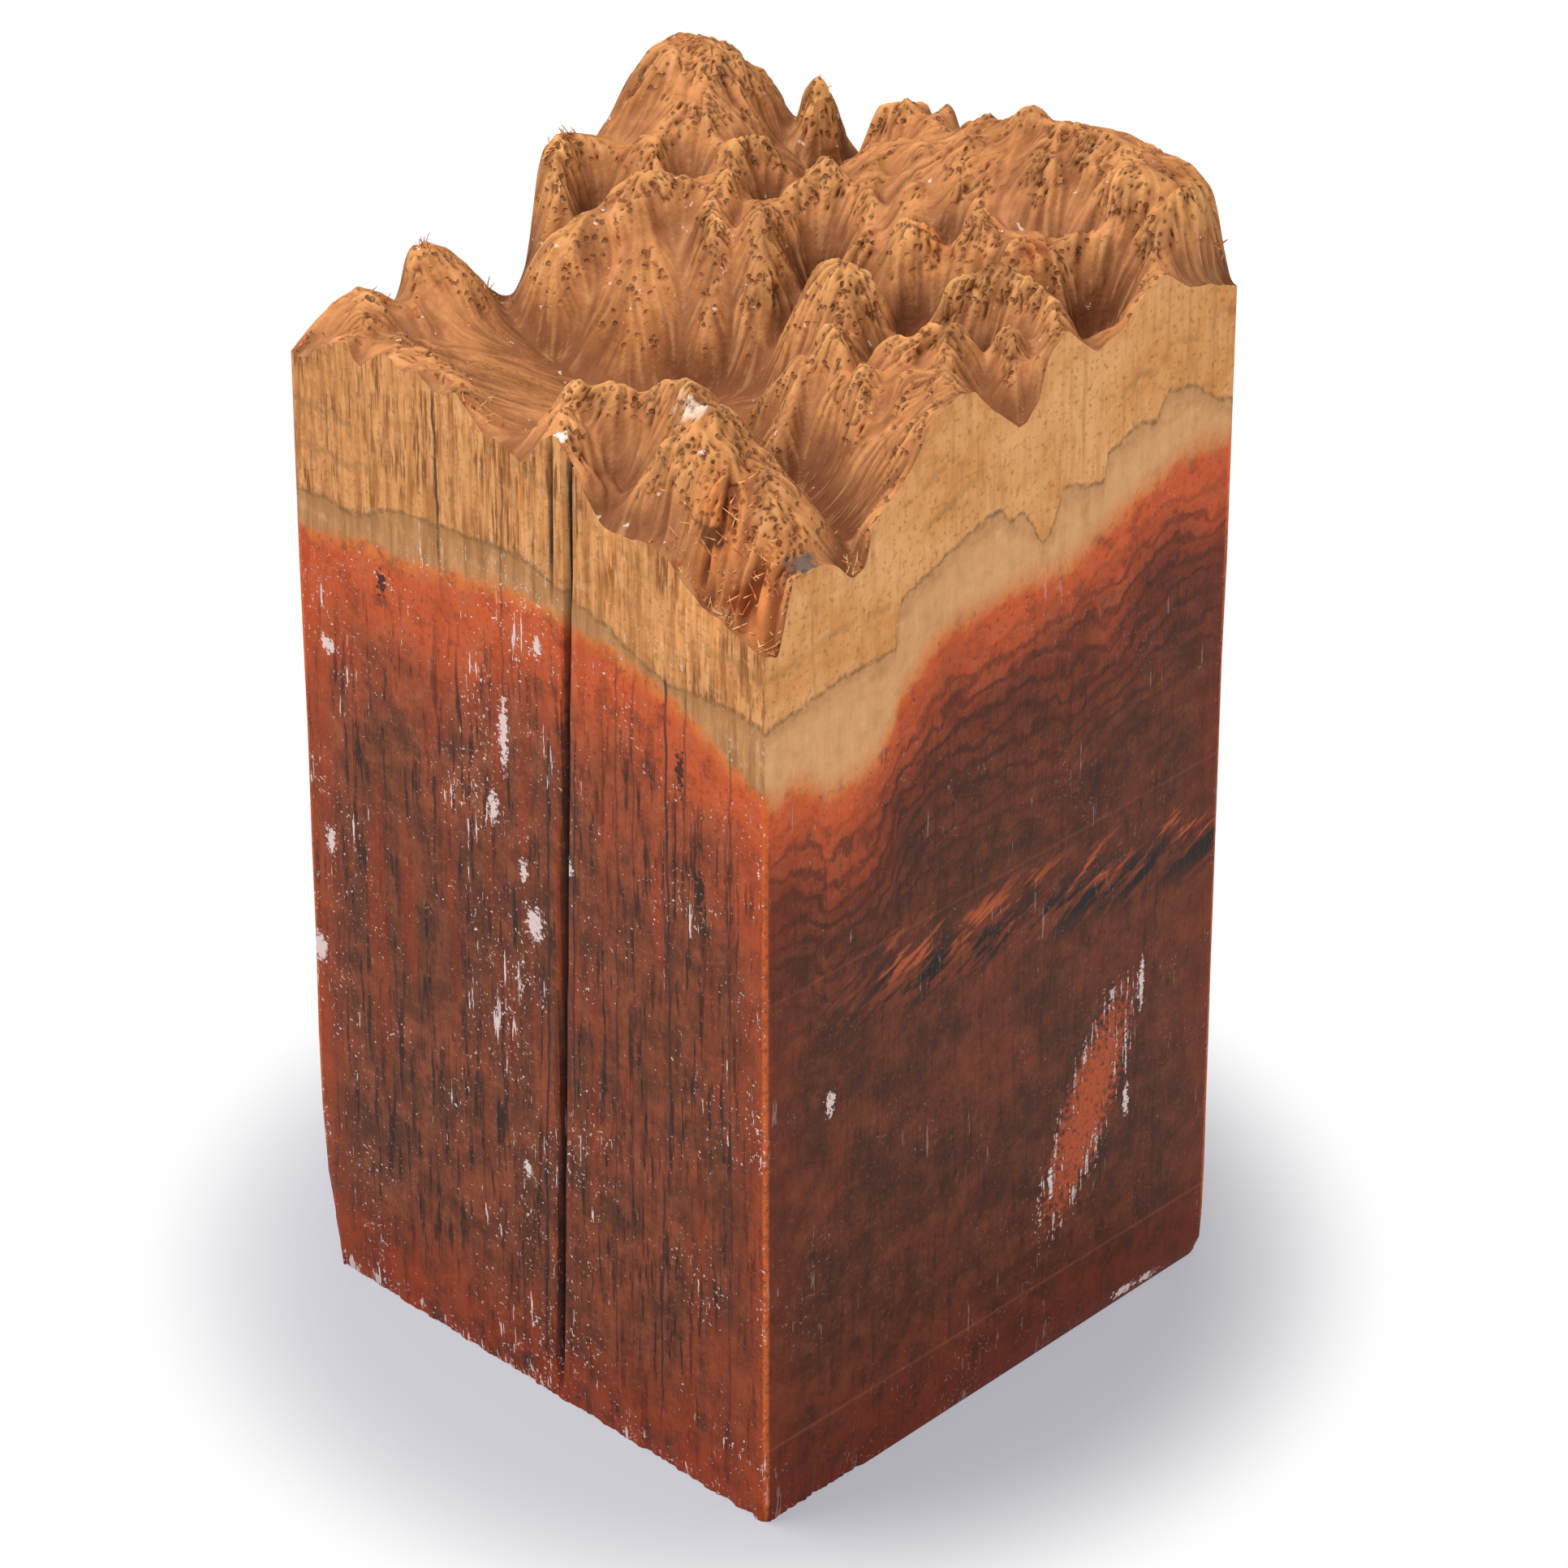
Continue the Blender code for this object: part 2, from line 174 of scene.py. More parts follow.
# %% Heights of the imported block
CELLS = 72
FINER = 4
PITCH = SIDE / CELLS / FINER
RAY_LIMIT = HALF - 0.002  # mm: the outermost rays fall just inside the saw cuts
RAY_START = 0.5  # metres above the base
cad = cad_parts["burl_blank"]
shape = bmesh.new()
shape.from_mesh(cad.data)
bmesh.ops.remove_doubles(shape, verts=shape.verts, dist=1e-6)
surface = BVHTree.FromBMesh(shape)
shape.free()
coarse = np.zeros((CELLS + 1, CELLS + 1))
for row in range(CELLS + 1):
    for column in range(CELLS + 1):
        x = min(max(column * SIDE / CELLS - HALF, -RAY_LIMIT), RAY_LIMIT)
        y = min(max(row * SIDE / CELLS - HALF, -RAY_LIMIT), RAY_LIMIT)
        hit = surface.ray_cast(Vector((x * MM, y * MM, RAY_START)), Vector((0, 0, -1)))[0]
        coarse[row, column] = hit.z / MM
print("heights from", coarse.min().round(1), "to", coarse.max().round(1), "mm")


# %% A finer table of heights
def finer(table, times):
    """A smooth curve through each row and column, read at finer steps."""
    for _ in range(2):
        count = table.shape[0] - 1
        spot = np.arange(count * times + 1) / times
        left = np.minimum(spot.astype(int), count - 1)
        t = (spot - left)[:, None]
        a = table[np.maximum(left - 1, 0)]
        b = table[left]
        c = table[left + 1]
        d = table[np.minimum(left + 2, count)]
        curve = b + 0.5 * t * (c - a + t * (2 * a - 5 * b + 4 * c - d + t * (3 * (b - c) + d - a)))
        table = curve.T
    return table


def blurred(table, width_mm):
    """A table smoothed over a width in millimetres."""
    reach = int(3 * width_mm / PITCH) + 1
    steps = np.arange(-reach, reach + 1)
    weight = np.exp(-0.5 * (steps * PITCH / width_mm) ** 2)
    weight /= weight.sum()
    for _ in range(2):
        wide = np.pad(table, ((reach, reach), (0, 0)), mode="edge")
        table = sum(w * wide[k : k + table.shape[0]] for k, w in enumerate(weight)).T
    return table


CLIFF = 9.0  # mm: taller steps than this stay sharp
RIM = 0.7  # mm: nearer to the saw cuts than this, the heights stay as packed
packed = finer(coarse, FINER)
gentle = np.abs(packed - blurred(packed, 0.5)) < CLIFF
height = np.where(gentle, blurred(packed, 0.45), packed)
axis = np.linspace(-HALF, HALF, CELLS * FINER + 1)
grid_x, grid_y = np.meshgrid(axis, axis)
inside = np.minimum(HALF - np.abs(grid_x), HALF - np.abs(grid_y))
height = height + np.exp(-((inside / RIM) ** 2)) * (packed - height)
print("table of", height.shape, "heights,", round(PITCH, 3), "mm apart")


# %% [markdown]
# ## Lobes, creases and small lumps
#
# Burl skin grows in lobes that press against each other, so creases run between them. The
# dome at the back right shows this best. Each crease is a line of points with a depth and a
# width in millimetres. Small lumps come from seeded random spots, and the smooth valley has
# none.

# %% Creases on the dome, the ridge and the crests
CREASES = {
    "dome, long crease": ([(21.5, 44.5), (24, 41), (27, 38.5), (31, 38.5), (34, 41)], 1.3, 0.8),
    "dome, right crease": ([(34, 36), (38, 37), (41, 39), (43.5, 42.5), (44, 46)], 1.4, 0.8),
    "dome, low crease": ([(24, 31), (28, 33), (32, 34.5), (35, 36.5)], 1.2, 0.7),
    "dome, left crease": ([(9, 43), (10, 38), (13, 33), (14, 28)], 0.9, 0.8),
    "dome, middle crease": ([(17, 42), (18, 37), (20, 33)], 0.8, 0.7),
    "flank crease": ([(-3, 41), (-1, 34), (3, 27)], 0.7, 0.7),
    "ridge, shelf": ([(14, -50), (19, -46.5), (25, -46), (29, -43)], 1.2, 0.9),
    "ridge, upper crease": ([(13, -44), (16, -45), (19, -44), (22, -45)], 0.9, 0.7),
    "crest swirl": ([(-42, 23), (-39.5, 25.5), (-37, 24), (-38, 21.5), (-40, 22)], 0.7, 0.6),
    "peak crease": ([(-48, 37), (-42, 35), (-37, 31)], 0.6, 0.8),
}


def line_away(x, y, points):
    """Distance from each point of the table to a line of points."""
    nearest = np.full(x.shape, 1e3)
    for (ax, ay), (bx, by) in zip(points[:-1], points[1:]):
        part = ((x - ax) * (bx - ax) + (y - ay) * (by - ay)) / ((bx - ax) ** 2 + (by - ay) ** 2)
        part = np.clip(part, 0.0, 1.0)
        gap = np.hypot(x - ax - part * (bx - ax), y - ay - part * (by - ay))
        nearest = np.minimum(nearest, gap)
    return nearest


free = np.clip(inside / 1.5, 0.0, 1.0)
for points, depth, width in CREASES.values():
    gap = line_away(grid_x, grid_y, points)
    height -= free * depth * np.exp(-((gap / width) ** 2))
print(len(CREASES), "creases")

# %% Small lumps, and where the skin is smooth
VALLEY = [(-51, -6), (-33, -10), (-8, -2), (12, -14), (38, -24), (51, -31)]
SHELF = [(-10, -44), (-24, -27), (-40, -20)]
dice = np.random.default_rng(11)
smooth_gap = np.minimum(line_away(grid_x, grid_y, VALLEY), line_away(grid_x, grid_y, SHELF) + 2)
knobby = np.clip((smooth_gap - 6.0) / 7.0, 0.0, 1.0)


def small_lumps(spacing, tall):
    """Round lumps at irregular places over the whole table."""
    spots = np.arange(-HALF, HALF + spacing, spacing)
    spot_x, spot_y = [part.ravel() for part in np.meshgrid(spots, spots)]
    spot_x = spot_x + dice.uniform(-0.45, 0.45, spot_x.size) * spacing
    spot_y = spot_y + dice.uniform(-0.45, 0.45, spot_y.size) * spacing
    relief = np.zeros(grid_x.shape)
    reach = int(spacing / PITCH) + 1
    for x, y, share in zip(spot_x, spot_y, dice.uniform(0.4, 1.0, spot_x.size)):
        column = int(round((x + HALF) / PITCH))
        row = int(round((y + HALF) / PITCH))
        part = np.s_[
            max(row - reach, 0) : max(row + reach, 0),
            max(column - reach, 0) : max(column + reach, 0),
        ]
        gap = np.hypot(grid_x[part] - x, grid_y[part] - y) / (0.75 * spacing)
        relief[part] = np.maximum(relief[part], share * np.clip(1 - gap**2, 0, 1) ** 1.5)
    return tall * (relief - 0.4)


lump_relief = (small_lumps(4.6, 0.8) + small_lumps(2.3, 0.35)) * knobby
height += lump_relief * free
print("lumps up to", lump_relief.max().round(2), "mm")

# %% [markdown]
# ## Which way the fibres run
#
# The fibres of the skin run down each flank and curl round the tops. So at each point the
# downhill direction of the smoothed form gives the fibre direction, with a slow random turn
# that makes them wander. Random noise smeared along that direction makes fibres in relief.

# %% Fibre direction and slope
form = blurred(height, 1.0)
rise_y, rise_x = np.gradient(form, PITCH)
slope = np.hypot(rise_x, rise_y)
wander = finer(dice.normal(0, 1, (25, 25)), 12) * 0.35
down_x = -rise_x / (slope + 1e-6)
down_y = -rise_y / (slope + 1e-6)
turn_cos, turn_sin = np.cos(wander), np.sin(wander)
fibre_x = down_x * turn_cos - down_y * turn_sin
fibre_y = down_x * turn_sin + down_y * turn_cos
run = 1.0 / np.sqrt(1.0 + slope**2)
crest = height - blurred(height, 3.5)
# How far each point lies below the form smoothed over 9 mm. The skin material uses it only to paint
# shade into the hollows.
hollow_shade_depth = np.clip(blurred(height, 9.0) - height, 0.0, 12.0)
print("steepest flank", round(math.degrees(math.atan(slope.max()))), "degrees")


# %% Noise smeared along the fibres
def read(table, row, column):
    """Value of a table between its points."""
    row = np.clip(row, 0, table.shape[0] - 1.001)
    column = np.clip(column, 0, table.shape[1] - 1.001)
    r, c = row.astype(int), column.astype(int)
    p, q = row - r, column - c
    top = table[r, c] * (1 - q) + table[r, c + 1] * q
    return top * (1 - p) + (table[r + 1, c] * (1 - q) + table[r + 1, c + 1] * q) * p


def smeared(grains, length_mm):
    """The mean of random grains along each fibre, up and down from each point."""
    rows, columns = np.indices(grains.shape).astype(float)
    total = grains.copy()
    steps = int(length_mm / PITCH)
    for way in (1.0, -1.0):
        row, column = rows.copy(), columns.copy()
        for _ in range(steps):
            move = way * read(run, row, column)
            go_x, go_y = read(fibre_x, row, column), read(fibre_y, row, column)
            row += go_y * move
            column += go_x * move
            total += read(grains, row, column)
    return total / (2 * steps + 1)


fibre = smeared(dice.normal(0, 1, grid_x.shape), 3.0)
fibre /= fibre.std()
strand = smeared(blurred(dice.normal(0, 1, grid_x.shape), 0.35), 4.0)
strand /= strand.std()
furrow = smeared(blurred(dice.normal(0, 1, grid_x.shape), 0.75), 6.0)
furrow /= furrow.std()
print("fibres in relief, spread", fibre.std().round(2))

# %% [markdown]
# ## Pits
#
# Bud traces leave small dark slits in the skin, 0.6 to 3.4 mm long, drawn out downhill. They
# sit close together below the crests and on the tips of the knobs, and the valleys have none.

# %% Pits
PIT_TRIES = 15000
pit = np.zeros(grid_x.shape)
share = np.clip((crest + 0.15) / 1.0, 0, 1) * np.clip(0.3 + slope, 0, 1)
share = share * np.clip(knobby * 1.3, 0, 1)
cluster = finer(dice.uniform(0, 1, (37, 37)), 8)
share = share * np.clip((cluster - 0.2) * 2.4, 0.04, 1)
for _ in range(PIT_TRIES):
    row, column = dice.integers(3, CELLS * FINER - 3, 2)
    if dice.uniform() > share[row, column]:
        continue
    if pit[row, column] > 0.15:
        continue
    long = dice.uniform(0.3, 0.95) if dice.uniform() < 0.8 else dice.uniform(1.0, 1.7)
    wide = dice.uniform(0.19, 0.27)
    reach = int(long * 1.7 / PITCH) + 2
    part = np.s_[
        max(row - reach, 0) : row + reach + 1,
        max(column - reach, 0) : column + reach + 1,
    ]
    gap_x = grid_x[part] - grid_x[row, column]
    gap_y = grid_y[part] - grid_y[row, column]
    go_x, go_y = fibre_x[row, column], fibre_y[row, column]
    along = (gap_x * go_x + gap_y * go_y) / run[row, column]
    across = gap_y * go_x - gap_x * go_y
    mark = np.exp(-((along / long) ** 4) - (across / wide) ** 2)
    pit[part] = np.maximum(pit[part], mark)
pit *= np.clip((inside - 0.5) / 0.7, 0, 1)
print("share of the skin in pits:", (pit > 0.5).mean().round(3))

# %% [markdown]
# ## The block's mesh
#
# A flat grid is lifted to the finished heights. Its rim is pulled down in rows to make the
# four sawn sides, and one face closes the base. Relief is added along the surface's own
# direction, so that it also shows on steep flanks. The rim itself only moves up and down,
# which keeps the saw cuts flat.

# %% Lift the grid
FRAYED = (  # x, y and reach in mm of the places where fibres are torn
    (37.0, -45.5, 4.0), (46.5, -46.5, 3.6), (30.0, 28.0, 2.2), (15.0, 22.0, 2.5),
)
frayed = np.zeros(grid_x.shape)
for x, y, size in FRAYED:
    frayed = np.maximum(frayed, np.exp(-((np.hypot(grid_x - x, grid_y - y) / size) ** 2)))
coarse_lines = (0.14 * strand + 0.11 * furrow) * (0.3 + 0.7 * knobby)
relief = 0.06 * fibre + coarse_lines + 0.5 * frayed * strand - 0.6 * pit
grade_y, grade_x = np.gradient(height, PITCH)
stretch = np.sqrt(1 + grade_x**2 + grade_y**2)
keep_in = np.clip((inside - 0.3) / 1.0, 0, 1)
moved_x = grid_x - relief * grade_x / stretch * keep_in
moved_y = grid_y - relief * grade_y / stretch * keep_in
moved_z = height + relief * (keep_in / stretch + (1 - keep_in) * 0.6)

shape = bmesh.new()
bmesh.ops.create_grid(shape, x_segments=CELLS * FINER, y_segments=CELLS * FINER, size=HALF)
index = []
for vert in shape.verts:
    row = int(round((vert.co.y + HALF) / PITCH))
    column = int(round((vert.co.x + HALF) / PITCH))
    index.append((row, column))
    vert.co = (moved_x[row, column], moved_y[row, column], moved_z[row, column])
print(len(shape.faces), "faces on the skin")

# %% Pull the rim down to the base
WALL_ROWS = (150.0, 134.0, 116.0, 98.0, 80.0, 62.0, 45.0, 30.0, 18.0, 9.0, 3.5, 0.0)
skin_faces = len(shape.faces)
rim = [edge for edge in shape.edges if edge.is_boundary]
for level in WALL_ROWS:
    lower = bmesh.ops.extrude_edge_only(shape, edges=rim)["geom"]
    for item in lower:
        if isinstance(item, bmesh.types.BMVert):
            item.co.z = level
    rim = [item for item in lower if isinstance(item, bmesh.types.BMEdge)]
bmesh.ops.contextual_create(shape, geom=rim)
shape.faces.ensure_lookup_table()
for number, face in enumerate(shape.faces):
    face.material_index = 0 if number < skin_faces else 1
    face.smooth = True
print(len(shape.verts), "vertices in the block")

# %% [markdown]
# ## Cracks and the worn foot
#
# The block dried after it was sawn, and two long cracks opened on its left side. Columns of
# the side are pushed in where they run. The corners of the foot were knocked in handling,
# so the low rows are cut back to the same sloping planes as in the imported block. The edges
# of the foot and the upright edges above it are worn unevenly, which noise gives.

# %% Open cracks (top x, top z, foot x, foot z, half width, depth) and broken corners
OPEN_CRACKS = ((10.2, 178.5, 4.5, 2.0, 0.55, 2.6), (6.2, 178.5, 5.9, 150.0, 0.42, 1.6))
FOOT_BREAKS = (
    ((-49.0, -49.0, 0.0), (-1.0, -1.0, -0.16)),
    ((50.3, -50.3, 0.0), (1.0, -1.0, -0.5)),
    ((50.1, 50.1, 0.0), (1.0, 1.0, -0.3)),
    ((49.8, 30.0, 0.0), (1.0, 0.02, -0.7)),
)
for vert in shape.verts:
    if vert.co.y < -HALF + 0.01:
        for top_x, top_z, foot_x, foot_z, wide, deep in OPEN_CRACKS:
            part = min(max((top_z - vert.co.z) / (top_z - foot_z), 0.0), 1.0)
            gap = vert.co.x - top_x - part * (foot_x - top_x)
            ends = min(max((vert.co.z - foot_z + 1.0) / 12.0, 0.0), 1.0)
            push = deep * math.exp(-((gap / wide) ** 4)) * ends
            vert.co.y += push
    if vert.co.z < 40.0:
        for point, facing in FOOT_BREAKS:
            way = Vector(facing).normalized()
            over = (vert.co - Vector(point)).dot(way)
            if over > 0:
                level = vert.co.z
                vert.co -= way * over
                vert.co.z = max(level, 0.0) if level < 0.01 else max(vert.co.z, 0.0)
print("cracks opened, foot broken")

# %% Worn edges: the foot's rim loses about 1 mm at most, the upright edges about 0.4 mm
EDGE = HALF - 0.01
worn = 0
for vert in shape.verts:
    on_x, on_y = abs(vert.co.x) > EDGE, abs(vert.co.y) > EDGE
    loss = 0.0
    if vert.co.z < 0.01 and (on_x or on_y):
        loss = 0.35 + 0.55 * noise.noise(vert.co * 0.4) + 0.3 * noise.noise(vert.co * 1.3)
    elif on_x and on_y and vert.co.z < 125.0:
        loss = 0.15 + 0.4 * noise.noise(vert.co * 0.11)
    if loss > 0.0:
        worn += 1
        vert.co.x -= math.copysign(loss, vert.co.x) if on_x else 0.0
        vert.co.y -= math.copysign(loss, vert.co.y) if on_y else 0.0
print(worn, "edge vertices worn")

# %% [markdown]
# ## What the wood grain needs to know
#
# The colours on the saw cuts follow the tree's growth: pale sapwood under the skin, a brown
# growth line, and red heartwood below. Each vertex keeps how far it lies above the growth
# line and above the heartwood's upper edge, so the colours meet at the corners as they do on
# the real block.

# %% Growth lines along the four sides
FRONT_HEART = [
    (-51, 139.5), (-44.8, 141.5), (-37.3, 143.2), (-22.6, 144.7), (-15.4, 146.2), (-8.2, 148.2),
    (-1, 149.2), (13, 148.1), (16.5, 148.1), (23.4, 146.9), (31.9, 144.7), (38.7, 141.5),
    (43.8, 138.8), (51, 135.8),
]
RIGHT_HEART = [
    (-51, 135.8), (-48.1, 134.3), (-45.5, 136), (-41.2, 134.5), (-37.8, 131), (-30.8, 131.4),
    (-27.4, 132.7), (-23.9, 136.9), (-22.2, 141.9), (-19.6, 143.6), (-15.3, 147.4), (-10, 149.1),
    (4.2, 149.6), (15, 148.5), (20.4, 151.2), (33, 155.2), (38.5, 157.2), (44.1, 157.1), (51, 155.6),
]
FRONT_RING = [
    (-51, 147), (-44.5, 147.9), (-38.9, 147.3), (-34.3, 148.7), (-29.6, 151.8), (-15.1, 154),
    (-0.8, 155.7), (6.1, 153.7), (17.4, 151.4), (28.5, 147), (32, 147.1), (44.7, 148.4), (51, 147.4),
]
RIGHT_RING = [
    (-51, 147.4), (-41.8, 148.5), (-35.6, 149.7), (-23.3, 149.6), (-22.4, 157.6), (-15.5, 160.2),
    (-8.5, 162.8), (-1.1, 164.2), (0.9, 161.7), (4.3, 161.6), (8.5, 154.1), (11.2, 157.3),
    (12.8, 162.3), (18.3, 160), (21.9, 159.9), (22.7, 163.8), (29.9, 166.5), (33.6, 165.7),
    (36.2, 169.6), (41.7, 168.1), (47.5, 163.6), (51, 161.9),
]
BACK_HEART = [(-51, 146), (-30, 141), (-12, 147), (5, 152), (22, 158), (38, 160), (51, 155.6)]
LEFT_HEART = [
    (-51, 139.5), (-36, 143), (-18, 138), (-4, 135), (8, 149), (24, 157), (40, 153), (51, 146),
]
BACK_RING = [(-51, 158), (-34, 151), (-18, 157), (0, 163), (20, 170), (36, 171), (51, 161.9)]
LEFT_RING = [
    (-51, 147), (-38, 151), (-20, 146), (-6, 144), (6, 158), (22, 169), (38, 164), (51, 158),
]


def line_height(points, place):
    """Height of a growth line at each place along a side."""
    return np.interp(place, [point[0] for point in points], [point[1] for point in points])


places = np.array([vert.co[:] for vert in shape.verts])
along_x, along_y = places[:, 0], places[:, 1]
to_sides = np.stack([HALF + along_y, HALF - along_x, HALF - along_y, HALF + along_x])
weights = 1.0 / (np.maximum(to_sides, 0.0) + 0.02) ** 2
weights /= weights.sum(axis=0)
hearts = np.stack([
    line_height(FRONT_HEART, along_x), line_height(RIGHT_HEART, along_y),
    line_height(BACK_HEART, along_x), line_height(LEFT_HEART, along_y),
])
rings = np.stack([
    line_height(FRONT_RING, along_x), line_height(RIGHT_RING, along_y),
    line_height(BACK_RING, along_x), line_height(LEFT_RING, along_y),
])
heart = places[:, 2] - (weights * hearts).sum(axis=0)
ring = places[:, 2] - (weights * rings).sum(axis=0)
corner = np.sort(to_sides, axis=0)[1]
print("growth lines set on", len(places), "vertices")

# %% Make the block and keep the fields on its vertices
bmesh.ops.scale(shape, vec=(MM, MM, MM), verts=shape.verts)
bmesh.ops.recalc_face_normals(shape, faces=shape.faces)
mesh = bpy.data.meshes.new("burl_block")
shape.to_mesh(mesh)
shape.free()
block = bpy.data.objects.new("burl_block", mesh)
bpy.context.scene.collection.objects.link(block)
mesh.set_sharp_from_angle(angle=math.radians(62))

rows = np.array([item[0] for item in index])
columns = np.array([item[1] for item in index])
skin_count = len(index)
fields = {"heart": heart, "ring": ring, "corner": corner}
for name, table in (("pit", pit), ("crest", crest), ("fibre", fibre), ("strand", strand),
                    ("furrow", furrow), ("frayed", frayed), ("hollow_shade_depth", hollow_shade_depth)):
    values = np.zeros(len(places))
    values[:skin_count] = table[rows, columns]
    fields[name] = values
for name, values in fields.items():
    mesh.attributes.new(name, "FLOAT", "POINT").data.foreach_set("value", values.astype(np.float32))

print("triangles:", sum(len(face.vertices) - 2 for face in mesh.polygons))

# %% [markdown]
# ## Raw burl skin
#
# The bark was washed off and the wood left bare, so the skin is dry and dull: roughness 0.85 and no
# coat. It is tan on the crests and flanks and redder in the valleys, with dark pits. The valleys are
# also painted darker and greyer, and the hollows a deep brown by their depth, which is painted shade.
# The fibres, furrows and larger pits are numbers kept on the mesh, and the smallest pits are round
# cells of a pattern 0.9 mm apart.

# %% Burl skin
skin, tree, shader = new_material("raw_burl_skin")


def field(name):
    """One of the numbers kept on the vertices."""
    return add(tree, "Attribute", {"attribute_name": name}).outputs["Fac"]


def maths(operation, first, second=0.0, third=0.0):
    """The result of a sum on numbers or sockets."""
    return add(tree, "Math", {"operation": operation}, in0=first, in1=second, in2=third).outputs[0]


def ramp(value, low, high, to_low=0.0, to_high=1.0):
    """A value moved from one range to another, and kept in it."""
    node = add(
        tree, "MapRange", None,
        Value=value, From_Min=low, From_Max=high, To_Min=to_low, To_Max=to_high,
    )
    return node.outputs["Result"]


def mixed(share, first, second, way="MIX"):
    """Two colours mixed by a share."""
    settings = {"data_type": "RGBA", "blend_type": way}
    return add(tree, "Mix", settings, Factor=share, in6=first, in7=second).outputs[2]


def noise_at(vector, scale, detail=3.0, rough=0.55):
    """Cloudy noise between 0 and 1."""
    node = add(tree, "TexNoise", None, Vector=vector, Scale=scale, Detail=detail, Roughness=rough)
    return node.outputs["Fac"]


def in_millimetres(scale=(1000, 1000, 1000)):
    """The place on the object in millimetres, or squeezed by a smaller scale."""
    object_place = add(tree, "TexCoord").outputs["Object"]
    return add(tree, "Mapping", None, Vector=object_place, Scale=scale).outputs["Vector"]


spot = in_millimetres()
patches = noise_at(spot, 0.09, 2.0)
mottle = noise_at(spot, 0.5, 3.0)
tan = mixed(ramp(patches, 0.35, 0.65), linear("#BC7F4E"), linear("#A06839"))
tan = mixed(ramp(mottle, 0.45, 0.7), tan, linear("#A4663C"))
# Partly painted shade: the low places between crests turn darker, redder and greyer, partly as the
# skin's own colour.
valley_tone_and_shade = mixed(ramp(mottle, 0.3, 0.7), linear("#8A5230"), linear("#A0704E"))
low = ramp(maths("ADD", field("crest"), maths("MULTIPLY", mottle, 1.2)), 0.7, -1.2)
colour = mixed(maths("MULTIPLY", low, 0.7), tan, valley_tone_and_shade)
# Painted shade: the hollows are darkened towards deep brown, up to 90 percent, by their depth below
# the smoothed form.
colour = mixed(ramp(field("hollow_shade_depth"), 1.0, 7.0, 0.0, 0.9), colour, linear("#56290F"))
colour = mixed(ramp(field("crest"), 0.5, 3.5, 0.0, 0.5), colour, linear("#D29A5C"))
colour = mixed(ramp(field("furrow"), 0.2, -2.0, 0.0, 0.42), colour, linear("#673A1E"))
colour = mixed(ramp(field("strand"), 0.0, -1.8, 0.0, 0.55), colour, linear("#63371D"))
colour = mixed(ramp(field("fibre"), 0.0, -1.8, 0.0, 0.5), colour, linear("#6E4024"))
colour = mixed(ramp(field("fibre"), 0.3, 2.2, 0.0, 0.25), colour, linear("#D2A26E"))
torn_red = mixed(ramp(field("strand"), -1.2, 1.2), linear("#6E2A10"), linear("#C4743C"))
colour = mixed(maths("MULTIPLY", field("frayed"), 0.85), colour, torn_red)

# %% Pits and smudges on the skin
astray = add(tree, "TexNoise", None, Vector=spot, Scale=0.8, Detail=2.0).outputs["Color"]
torn = add(tree, "Mix", {"data_type": "VECTOR"}, Factor=0.35, in4=spot, in5=astray).outputs[1]
dots = add(tree, "TexVoronoi", None, Vector=torn, Scale=1.1, Randomness=1.0).outputs["Distance"]
on_crest = ramp(maths("ADD", field("crest"), maths("MULTIPLY", patches, 1.5)), 0.55, 1.5)
gathered = ramp(mottle, 0.38, 0.55)
fine_pits = maths("MULTIPLY", ramp(dots, 0.38, 0.24), maths("MULTIPLY", on_crest, gathered))
colour = mixed(maths("MULTIPLY", fine_pits, 0.7), colour, linear("#5C3218"))
colour = mixed(ramp(field("pit"), 0.25, 0.9, 0.0, 0.8), colour, linear("#5C3218"))
wax = ramp(mottle, 0.7, 0.73)
colour = mixed(maths("MULTIPLY", wax, 0.5), colour, linear("#E6D6C8"))
SKIN_MARKS = (  # x, y and z in mm, reach, colour, strength: torn hollows, a smudge, dried wax
    (36.1, -47.0, 173.0, 2.6, "#3A1E0E", 0.8), (49.6, -41.6, 171.0, 3.0, "#45423F", 0.85),
    (43.5, -47.7, 165.8, 3.2, "#7E3414", 0.7), (24.4, -38.9, 186.1, 2.8, "#E2D4C6", 0.5),
    (7.1, -50.6, 179.7, 1.6, "#F0E6DC", 0.8), (19.0, -39.5, 187.0, 3.2, "#DCC8B4", 0.45),
)
for x, y, z, reach, tone, strong in SKIN_MARKS:
    away = add(tree, "VectorMath", {"operation": "DISTANCE"}, in0=spot, in1=(x, y, z))
    uneven = maths("MULTIPLY", maths("SUBTRACT", mottle, 0.5), 5.0)
    away = maths("ADD", away.outputs["Value"], uneven)
    colour = mixed(ramp(away, reach, reach * 0.5, 0.0, strong), colour, linear(tone))
tree.links.new(colour, shader.inputs["Base Color"])
shader.inputs["Roughness"].default_value = 0.85
shader.inputs["Specular IOR Level"].default_value = 0.2
grain = maths("SUBTRACT", mottle, fine_pits)
bump = add(tree, "Bump", None, Strength=0.8, Distance=0.0004, Height=grain)
tree.links.new(bump.outputs["Normal"], shader.inputs["Normal"])
mesh.materials.append(skin)
print("burl skin uses", len(tree.nodes), "nodes")

# %% [markdown]
# ## Sawn sides under sealing wax
#
# The sides were cut with a saw and brushed with clear wax, so that the block dries slowly.
# The wax gives a low satin gloss and flakes off in white scraps. Under it, the sapwood is
# tan with brown vertical flecks, its lower band is greener, and the heartwood starts bright
# orange and darkens to brown-red. The right side was cut across the growth rings and shows
# them as curved bands, with a band of slanting dark dashes and a rubbed orange patch below.

